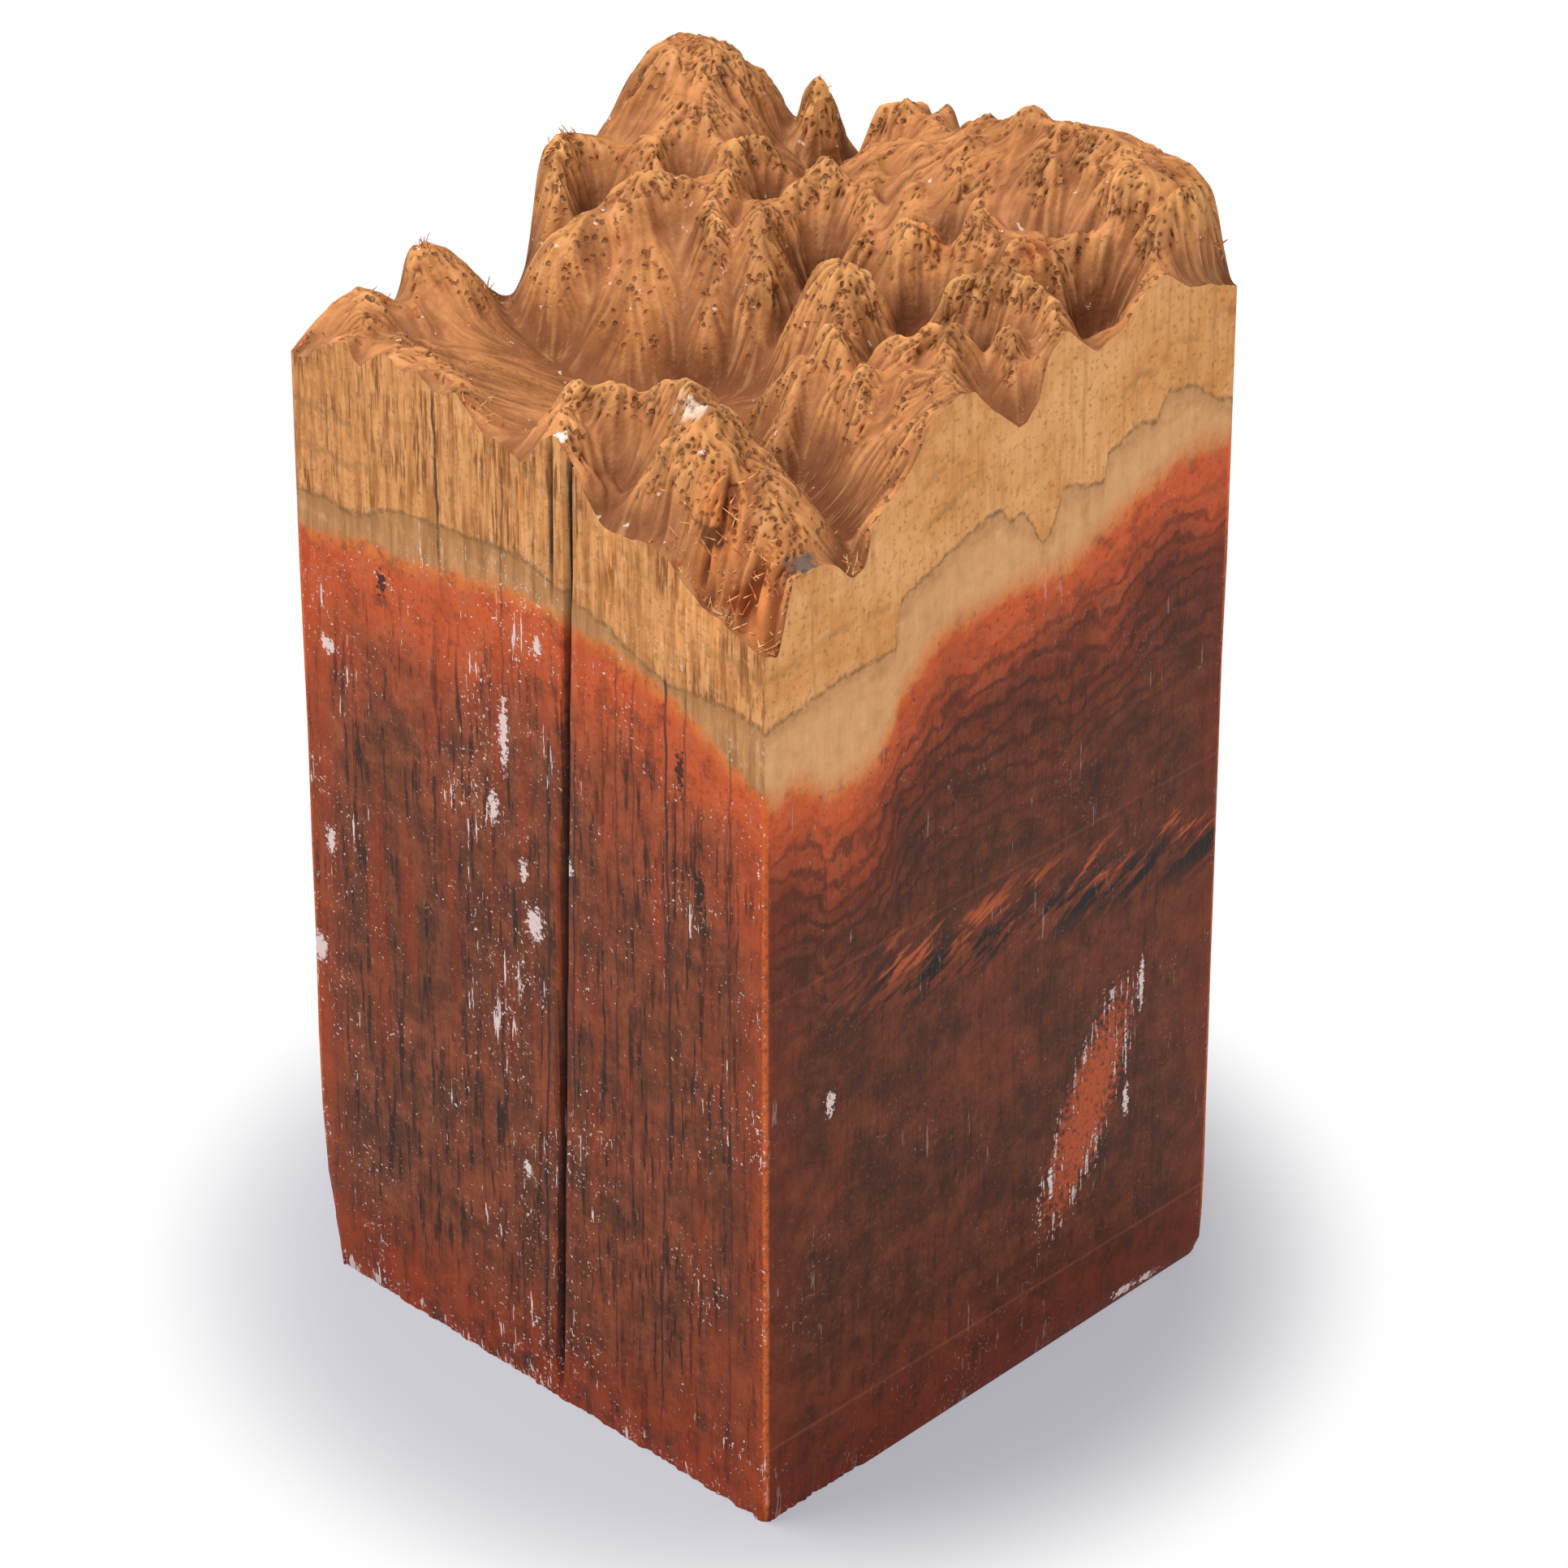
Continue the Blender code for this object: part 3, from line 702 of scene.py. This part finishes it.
# %% Sawn sides: coordinates and sapwood
sawn, tree, shader = new_material("waxed_sawn_wood")
spot = in_millimetres()
upright = in_millimetres((1000, 1000, 90))
facing = add(tree, "SeparateXYZ", None, Vector=add(tree, "NewGeometry").outputs["Normal"])
cross_cut = ramp(maths("ABSOLUTE", facing.outputs["X"]), 0.6, 0.8)
parts = add(tree, "SeparateXYZ", None, Vector=spot)
at_x, at_y, at_z = parts.outputs["X"], parts.outputs["Y"], parts.outputs["Z"]
streaks = noise_at(upright, 0.55, 3.0, 0.62)
fine_streaks = noise_at(upright, 1.6, 2.0, 0.6)
cloud = noise_at(spot, 0.07, 3.0)
speckle = noise_at(spot, 0.9, 3.0, 0.65)
wave = maths("MULTIPLY", maths("SUBTRACT", noise_at(spot, 0.35, 3.0), 0.5), 5.0)
over_heart = maths("ADD", field("heart"), wave)
over_ring = maths("ADD", field("ring"), maths("MULTIPLY", wave, 0.5))

sapwood = mixed(ramp(cloud, 0.35, 0.65), linear("#D89E66"), linear("#C8884C"))
left_tone = mixed(ramp(streaks, 0.4, 0.65), linear("#D2945C"), linear("#A86A38"))
sapwood = mixed(ramp(cross_cut, 0, 1, 0.8, 0.0), sapwood, left_tone)
patchy = ramp(noise_at(spot, 0.11, 2.0), 0.38, 0.6, 0.1, 1.0)
fleck_share = maths("MULTIPLY", ramp(fine_streaks, 0.5, 0.6), ramp(cross_cut, 0, 1, 0.85, 0.1))
fleck_share = maths("MULTIPLY", fleck_share, patchy)
sapwood = mixed(fleck_share, sapwood, linear("#6E3C18"))
sapwood = mixed(ramp(streaks, 0.5, 0.7, 0.0, 0.4), sapwood, linear("#8C5426"))
sapwood = mixed(maths("MULTIPLY", ramp(speckle, 0.54, 0.68), 0.6), sapwood, linear("#8A5A30"))
low_band = mixed(ramp(streaks, 0.35, 0.7), linear("#BC885A"), linear("#8C6038"))
low_band = mixed(ramp(cross_cut, 0, 1, 0.0, 0.7), low_band, linear("#D4A070"))
sapwood = mixed(ramp(over_ring, 0.6, -0.6, 0.0, 0.85), sapwood, low_band)
older = maths("ADD", maths("MULTIPLY", over_ring, 0.85), maths("MULTIPLY", speckle, 1.5))
older = maths("SINE", older)
older = maths("MULTIPLY", ramp(older, 0.7, 1.0, 0.0, 0.5), ramp(over_ring, 1.5, 4.0))
older = maths("MULTIPLY", older, ramp(cloud, 0.5, 0.62, 0.1, 1.0))
sapwood = mixed(older, sapwood, linear("#8F673A"))
patched = maths("MULTIPLY", ramp(wave, 0.1, 1.1, 0.0, 0.42), ramp(cloud, 0.35, 0.6, 0.4, 1.0))
sapwood = mixed(patched, sapwood, linear("#A06C3C"))
sapwood = mixed(ramp(wave, -0.3, -1.3, 0.0, 0.35), sapwood, linear("#E2B280"))
under_ring = maths("MULTIPLY", ramp(over_ring, -4.5, -0.3, 0.0, 0.6), ramp(over_ring, 0.3, -0.3))
under_ring = maths("MULTIPLY", under_ring, ramp(speckle, 0.3, 0.6, 0.4, 1.0))
sapwood = mixed(under_ring, sapwood, linear("#97693A"))
ring_line = ramp(maths("ABSOLUTE", over_ring), 0.7, 0.1, 0.0, 0.7)
ring_line = maths("MULTIPLY", ring_line, ramp(speckle, 0.35, 0.6, 0.25, 1.0))
sapwood = mixed(ring_line, sapwood, linear("#6B4E30"))

# %% Sawn sides: heartwood
depth = maths("MULTIPLY", over_heart, -1.0)
deeper = maths("ADD", depth, maths("MULTIPLY", maths("SUBTRACT", cloud, 0.5), 26.0))
heartwood = mixed(ramp(depth, 0.0, 3.5), linear("#CC7434"), linear("#BC5024"))
heartwood = mixed(ramp(deeper, 6.0, 20.0), heartwood, linear("#A04420"))
brown = mixed(ramp(cloud, 0.38, 0.6), linear("#92472A"), linear("#6A3822"))
brown_streak = maths("MULTIPLY", ramp(streaks, 0.45, 0.65, 0.0, 0.6), ramp(cross_cut, 0, 1, 1.0, 0.2))
brown = mixed(brown_streak, brown, linear("#4A2414"))
heartwood = mixed(ramp(deeper, 12.0, 34.0, 0.0, 0.92), heartwood, brown)
blotch = noise_at(spot, 0.22, 4.0, 0.65)
heartwood = mixed(ramp(blotch, 0.5, 0.68, 0.0, 0.55), heartwood, linear("#A85A38"))
heartwood = mixed(ramp(blotch, 0.48, 0.34, 0.0, 0.5), heartwood, linear("#46241A"))
along_grain = noise_at(upright, 0.8, 3.0, 0.68)
dark_streak = maths("MULTIPLY", ramp(along_grain, 0.54, 0.63), ramp(depth, 3.0, 22.0, 0.0, 0.8))
dark_streak = maths("MULTIPLY", dark_streak, ramp(cross_cut, 0, 1, 1.0, 0.35))
heartwood = mixed(dark_streak, heartwood, linear("#20110C"))
red_streak = ramp(noise_at(upright, 0.22, 2.0), 0.54, 0.68, 0.0, 0.55)
red_streak = maths("MULTIPLY", red_streak, ramp(cross_cut, 0, 1, 1.0, 0.15))
heartwood = mixed(red_streak, heartwood, linear("#A03C14"))
heartwood = mixed(ramp(speckle, 0.58, 0.68, 0.0, 0.45), heartwood, linear("#2C140C"))
heartwood = mixed(ramp(speckle, 0.42, 0.32, 0.0, 0.35), heartwood, linear("#BC6A44"))
band_wave = maths("ADD", maths("MULTIPLY", depth, 1.5), maths("MULTIPLY", cloud, 20.0))
band_wave = maths("SINE", band_wave)
bands = maths("MULTIPLY", ramp(band_wave, 0.0, 0.95), ramp(depth, 4.0, 12.0))
bands = maths("MULTIPLY", bands, ramp(depth, 60.0, 30.0))
bands = maths("MULTIPLY", bands, ramp(blotch, 0.35, 0.55, 0.3, 1.0))
bands = maths("MULTIPLY", bands, maths("MULTIPLY", cross_cut, 0.6))
heartwood = mixed(bands, heartwood, linear("#34140A"))
lower = maths("MULTIPLY", ramp(depth, 15.0, 55.0, 0.0, 0.95), ramp(cross_cut, 0, 1, 1.0, 0.0))
heartwood = mixed(lower, heartwood, linear("#D8D8D4"), "MULTIPLY")
foot_red = maths("MULTIPLY", ramp(at_z, 20.0, 1.0, 0.0, 0.75), ramp(blotch, 0.3, 0.55))
heartwood = mixed(foot_red, heartwood, linear("#98330C"))
edge_red = maths("MULTIPLY", ramp(field("corner"), 9.0, 0.5, 0.0, 0.55), ramp(speckle, 0.35, 0.6))
heartwood = mixed(edge_red, heartwood, linear("#B04010"))
cut_shade = maths("MULTIPLY", cross_cut, ramp(deeper, 4.0, 20.0))
heartwood = mixed(cut_shade, heartwood, linear("#B2AAA0"), "MULTIPLY")

# %% Right side: the band of slanting dashes, the rubbed patch and two saw lines
DASH_TURN = -0.42  # radians about X
PATCH_Y, PATCH_Z, PATCH_WIDE, PATCH_TALL, PATCH_LEAN = 22.0, 44.0, 6.0, 17.0, 0.38
SAW_LINES = ((98.0, 0.1), (14.2, 0.15))  # height in mm and strength
right_side = ramp(facing.outputs["X"], 0.6, 0.8)
turned = add(tree, "VectorRotate", {"rotation_type": "X_AXIS"}, Vector=spot, Angle=DASH_TURN)
drawn = add(tree, "Mapping", None, Vector=turned.outputs["Vector"], Scale=(1.0, 0.2, 1.0))
dashes = noise_at(drawn.outputs["Vector"], 0.5, 3.0, 0.62)
band_middle = maths("MULTIPLY_ADD", at_y, -0.09, 89.0)
over_band = maths("SUBTRACT", at_z, band_middle)
in_band = ramp(maths("ABSOLUTE", over_band), 9.5, 4.0)
in_band = maths("MULTIPLY", in_band, maths("MULTIPLY", ramp(at_y, -42.0, -24.0), right_side))
dark_dash = maths("MULTIPLY", ramp(dashes, 0.49, 0.56), ramp(over_band, 4.0, -1.0, 0.15, 0.92))
bright_dash = maths("MULTIPLY", ramp(dashes, 0.47, 0.39), ramp(over_band, -3.0, 1.0, 0.1, 0.75))
heartwood = mixed(maths("MULTIPLY", dark_dash, in_band), heartwood, linear("#151211"))
heartwood = mixed(maths("MULTIPLY", bright_dash, in_band), heartwood, linear("#B4562F"))
up = maths("SUBTRACT", at_z, PATCH_Z)
sideways = maths("SUBTRACT", maths("SUBTRACT", at_y, PATCH_Y), maths("MULTIPLY", up, PATCH_LEAN))
patch_y = maths("POWER", maths("DIVIDE", maths("ABSOLUTE", sideways), PATCH_WIDE), 2.0)
patch_z = maths("POWER", maths("DIVIDE", maths("ABSOLUTE", up), PATCH_TALL), 2.0)
patch_edge = maths("MULTIPLY", maths("SUBTRACT", speckle, 0.5), 5.0)
patch_out = maths("ADD", maths("ADD", patch_y, patch_z), patch_edge)
rubbed = maths("MULTIPLY", ramp(patch_out, 1.3, 0.1, 0.0, 0.85), right_side)
heartwood = mixed(rubbed, heartwood, linear("#B04E28"))
patch_rim = maths("MULTIPLY", ramp(patch_out, 0.7, 1.0), ramp(patch_out, 1.6, 1.2))
patch_rim = maths("MULTIPLY", maths("MULTIPLY", patch_rim, right_side), ramp(fine_streaks, 0.57, 0.6))
for level, strong in SAW_LINES:
    saw_line = ramp(maths("ABSOLUTE", maths("SUBTRACT", at_z, level)), 0.45, 0.15, 0.0, strong)
    heartwood = mixed(maths("MULTIPLY", saw_line, right_side), heartwood, linear("#A8654A"))

# %% Sapwood meets heartwood, and the bright corner line
soft_edge = maths("DIVIDE", over_heart, ramp(cross_cut, 0, 1, 1.0, 2.6))
sides = mixed(ramp(soft_edge, -0.9, 1.1), heartwood, sapwood)
edge_line = maths("MULTIPLY", ramp(field("corner"), 0.9, 0.35), ramp(speckle, 0.3, 0.55, 0.1, 0.7))
edge_line = maths("MULTIPLY", edge_line, ramp(over_heart, 1.0, -2.0))
sides = mixed(edge_line, sides, linear("#D0632C"))
print("sawn wood so far", len(tree.nodes), "nodes")


# %% [markdown]
# ### Cracks and wax flakes
#
# Fine drying cracks run with the grain on the left side. Each is a line from a top point to a bottom
# point with a width. The first two lie over the open cracks pushed into the side, and their
# near-black there is painted shade in the gaps. The wax flakes are stretched spots whose edge is
# broken by noise, and the smallest ones are noise alone. They crowd beside the long cracks, along the
# upright edges and at the foot.

# %% Drying cracks on the left side: top x, top z, foot x, foot z, half width, darkness
FINE_CRACKS = (
    (10.3, 178.5, 4.5, 1.0, 0.85, 0.97), (6.2, 178.5, 5.9, 150.0, 0.48, 0.95),
    (4.7, 127.0, 1.6, 7.0, 0.26, 0.8), (10.5, 130.0, 8.7, 52.0, 0.22, 0.75),
    (30.1, 150.0, 30.6, 55.0, 0.3, 0.8), (29.0, 56.0, 27.6, 4.5, 0.25, 0.75),
    (19.8, 148.0, 17.5, 10.0, 0.16, 0.5), (23.3, 146.0, 21.3, 12.0, 0.16, 0.5),
    (43.8, 144.5, 42.9, 8.0, 0.16, 0.5), (-19.4, 178.0, -18.5, 143.0, 0.36, 0.85),
    (-4.5, 170.0, -5.5, 120.0, 0.2, 0.5), (34.5, 152.0, 33.5, 100.0, 0.2, 0.5),
)
front_side = ramp(at_y, -46.0, -48.0)
sway = maths("MULTIPLY", maths("SUBTRACT", noise_at(spot, 0.12, 2.0), 0.5), 1.6)
swayed_x = maths("ADD", at_x, sway)
broken = ramp(blotch, 0.3, 0.5, 0.35, 1.0)
# Over the two open cracks of the mesh, the dark line is painted shade in the gap.
for top_x, top_z, foot_x, foot_z, wide, dark in FINE_CRACKS:
    lean = (top_x - foot_x) / (top_z - foot_z)
    line_x = maths("MULTIPLY_ADD", at_z, lean, foot_x - lean * foot_z)
    gap = maths("ABSOLUTE", maths("SUBTRACT", at_x if wide > 0.4 else swayed_x, line_x))
    line = ramp(gap, wide + 0.12, wide * 0.5, 0.0, dark)
    window = maths("MULTIPLY", ramp(at_z, foot_z - 1, foot_z + 9), ramp(at_z, top_z + 1, top_z - 3))
    line = maths("MULTIPLY", line, maths("MULTIPLY", window, front_side))
    line = line if wide > 0.4 else maths("MULTIPLY", line, broken)
    sides = mixed(line, sides, linear("#231A1C"))
print(len(FINE_CRACKS), "cracks")

# %% Dark knots, then wax flakes: x, y and z in mm, half width, half height
DARK_SPOTS = (
    (33.1, -51.0, 132.5, 0.8, 3.4), (37.1, -51.0, 113.0, 1.0, 4.0),
    (-32.1, -51.0, 137.4, 0.9, 2.2),
)
FLAKES = (
    (-5.4, -51.0, 122.0, 1.0, 6.0), (-8.0, -51.0, 107.8, 1.1, 2.8), (-1.5, -51.0, 99.0, 0.8, 2.0),
    (0.8, -51.0, 90.0, 1.8, 3.0), (-45.0, -51.0, 121.0, 1.6, 1.4), (2.5, -51.0, 141.0, 0.8, 1.8),
    (-46.0, -51.0, 84.0, 1.2, 2.4), (8.5, -51.0, 104.0, 0.9, 1.6), (-2.0, -51.0, 42.0, 0.8, 1.6),
    (51.0, 32.0, 2.0, 2.2, 1.0), (51.0, 38.0, 1.6, 2.4, 0.9), (51.0, 34.0, 62.0, 0.5, 4.5),
    (51.0, 31.0, 41.0, 0.6, 3.0), (51.0, 13.5, 33.0, 0.5, 3.4), (-49.5, -51.0, 62.0, 1.6, 2.6),
    (51.0, -37.0, 74.0, 1.0, 2.0),
)
ragged = maths("MULTIPLY", maths("SUBTRACT", noise_at(spot, 1.1, 4.0, 0.7), 0.5), 4.5)


def ragged_spot(x, y, z, wide, tall):
    """An upright spot with a torn edge."""
    gap = add(tree, "VectorMath", {"operation": "SUBTRACT"}, in0=spot, in1=(x, y, z))
    size = (wide, wide, tall)
    share = add(tree, "VectorMath", {"operation": "DIVIDE"}, in0=gap.outputs["Vector"], in1=size)
    far_off = add(tree, "VectorMath", {"operation": "LENGTH"}, in0=share.outputs["Vector"])
    return ramp(maths("ADD", far_off.outputs["Value"], ragged), 1.0, 0.8)


for knot in DARK_SPOTS:
    sides = mixed(maths("MULTIPLY", ragged_spot(*knot), 0.9), sides, linear("#1C1414"))
crowd = ramp(noise_at(spot, 0.06, 2.0), 0.36, 0.66, 0.07, -0.035)
from_band = maths("ABSOLUTE", maths("ADD", at_x, 6.0))
crowd = maths("SUBTRACT", crowd, ramp(from_band, 16.0, 5.0, 0.0, 0.035))
near_edge = ramp(field("corner"), 2.4, 0.6, 0.0, 0.045)
knocked = maths("MAXIMUM", ramp(at_z, 4.5, 1.0, 0.0, 0.06), near_edge)
crowd = maths("SUBTRACT", crowd, knocked)
flakes = ramp(maths("SUBTRACT", noise_at(upright, 0.9, 4.0, 0.66), crowd), 0.665, 0.68)
small_flakes = maths("SUBTRACT", noise_at(spot, 1.6, 3.0, 0.62), crowd)
flakes = maths("MAXIMUM", flakes, ramp(small_flakes, 0.67, 0.69))
flakes = maths("MULTIPLY", flakes, ramp(cross_cut, 0, 1, 1.0, 0.2))
flakes = maths("MAXIMUM", flakes, patch_rim)
for flake in FLAKES:
    flakes = maths("MAXIMUM", flakes, ragged_spot(*flake))
flakes = maths("MULTIPLY", flakes, ramp(over_heart, 12.0, 2.0, 0.25, 1.0))
sides = mixed(maths("MULTIPLY", flakes, 0.85), sides, linear("#DCC9C6"))
tree.links.new(sides, shader.inputs["Base Color"])
gloss = ramp(over_heart, -2.0, 4.0, 0.42, 0.62)
tree.links.new(maths("ADD", gloss, maths("MULTIPLY", flakes, 0.2)), shader.inputs["Roughness"])
shader.inputs["Specular IOR Level"].default_value = 0.12
relief_height = maths("ADD", maths("MULTIPLY", fine_streaks, 0.5), maths("MULTIPLY", speckle, 0.5))
bump = add(tree, "Bump", None, Strength=0.5, Distance=0.0003, Height=relief_height)
tree.links.new(bump.outputs["Normal"], shader.inputs["Normal"])
mesh.materials.append(sawn)
print("sawn wood uses", len(tree.nodes), "nodes")

# %% [markdown]
# ## Loose fibres
#
# Where the bark was pulled off, single fibres stand up from the wood: on the tops of the left
# knobs, on the thin wall beside the mountain and all over the torn front ridge. Each is a
# tapered rod, bent a little, and its root is sunk 0.3 mm into the skin. All of them together
# are one piece.

# %% Tufts: x and y in mm, spread, how many, length in mm, lean from upright in degrees
TUFTS = (
    (-50.2, -23.8, 1.0, 12, 2.2, 60), (-47.5, -12.0, 1.6, 10, 2.0, 70), (-50.2, 7.2, 0.7, 9, 2.4, 70),
    (-50.2, 3.0, 1.2, 9, 2.0, 75), (-48.7, -34.0, 1.0, 6, 1.6, 60), (-48.4, 31.9, 1.0, 5, 1.3, 75),
    (-50.5, -48.0, 1.5, 8, 1.6, 70), (48.3, 50.2, 0.8, 8, 3.2, 65), (32.4, 50.2, 1.5, 5, 1.6, 70),
    (37.7, -46.8, 2.6, 36, 2.8, 80), (41.0, -47.4, 2.6, 36, 2.8, 80),
    (46.6, -47.2, 2.4, 34, 2.8, 80), (50.0, -48.0, 1.2, 16, 2.6, 80),
    (32.0, -47.6, 2.4, 22, 2.2, 80), (-12.0, -49.6, 3.0, 14, 1.6, 80),
    (-30.9, 43.8, 0.8, 5, 1.4, 70), (49.4, -31.0, 1.6, 12, 2.4, 80),
)
ROOT_LIMIT = 50.4
TIP_LIMIT = HALF - 0.02
ROOT_DEPTH = 0.3
shape = bmesh.new()
for x, y, spread, count, long, lean in TUFTS:
    for _ in range(count):
        foot_x, foot_y = np.clip([x, y] + dice.normal(0, spread, 2), -ROOT_LIMIT, ROOT_LIMIT)
        foot_row = np.array([(foot_y + HALF) / PITCH])
        foot_z = read(moved_z, foot_row, np.array([(foot_x + HALF) / PITCH]))[0]
        length = long * dice.uniform(0.5, 1.2)
        before = len(shape.verts)
        rod = bmesh.ops.create_cone(
            shape, cap_ends=True, segments=4, radius1=0.15, radius2=0.05, depth=length,
        )
        edges = {edge for vert in rod["verts"] for edge in vert.link_edges}
        upright_edges = [edge for edge in edges if edge.calc_length() > length * 0.9]
        bmesh.ops.subdivide_edges(shape, edges=upright_edges, cuts=2)
        shape.verts.ensure_lookup_table()
        bend = dice.uniform(-0.35, 0.35) * length
        turn = Matrix.Rotation(dice.uniform(0, 2 * math.pi), 3, "Z")
        turn = turn @ Matrix.Rotation(math.radians(dice.uniform(0.3, 1.0) * lean), 3, "X")
        for vert in shape.verts[before:]:
            up_share = vert.co.z / length + 0.5
            vert.co.x += bend * up_share**2
            vert.co.z = up_share * length - ROOT_DEPTH
            vert.co = turn @ vert.co + Vector((foot_x, foot_y, foot_z))
            vert.co.x = min(max(vert.co.x, -TIP_LIMIT), TIP_LIMIT)
            vert.co.y = min(max(vert.co.y, -TIP_LIMIT), TIP_LIMIT)
print("loose fibres:", sum(tuft[3] for tuft in TUFTS))

# %% Loose fibres: object and colour, pale tan with redder ones in places
bmesh.ops.scale(shape, vec=(MM, MM, MM), verts=shape.verts)
bmesh.ops.recalc_face_normals(shape, faces=shape.faces)
fibres = bpy.data.objects.new("loose_fibres", bpy.data.meshes.new("loose_fibres"))
shape.to_mesh(fibres.data)
shape.free()
bpy.context.scene.collection.objects.link(fibres)
torn_fibre, tree, shader = new_material("torn_burl_fibre")
redder = ramp(noise_at(in_millimetres(), 0.6, 2.0), 0.42, 0.58)
tree.links.new(mixed(redder, linear("#CE9A64"), linear("#A85628")), shader.inputs["Base Color"])
shader.inputs["Roughness"].default_value = 0.8
shader.inputs["Specular IOR Level"].default_value = 0.2
fibres.data.materials.append(torn_fibre)
print("fibre triangles:", sum(len(face.vertices) - 2 for face in fibres.data.polygons))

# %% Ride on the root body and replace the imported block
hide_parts("burl_blank")
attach(fibres, "root")
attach(block, "root")
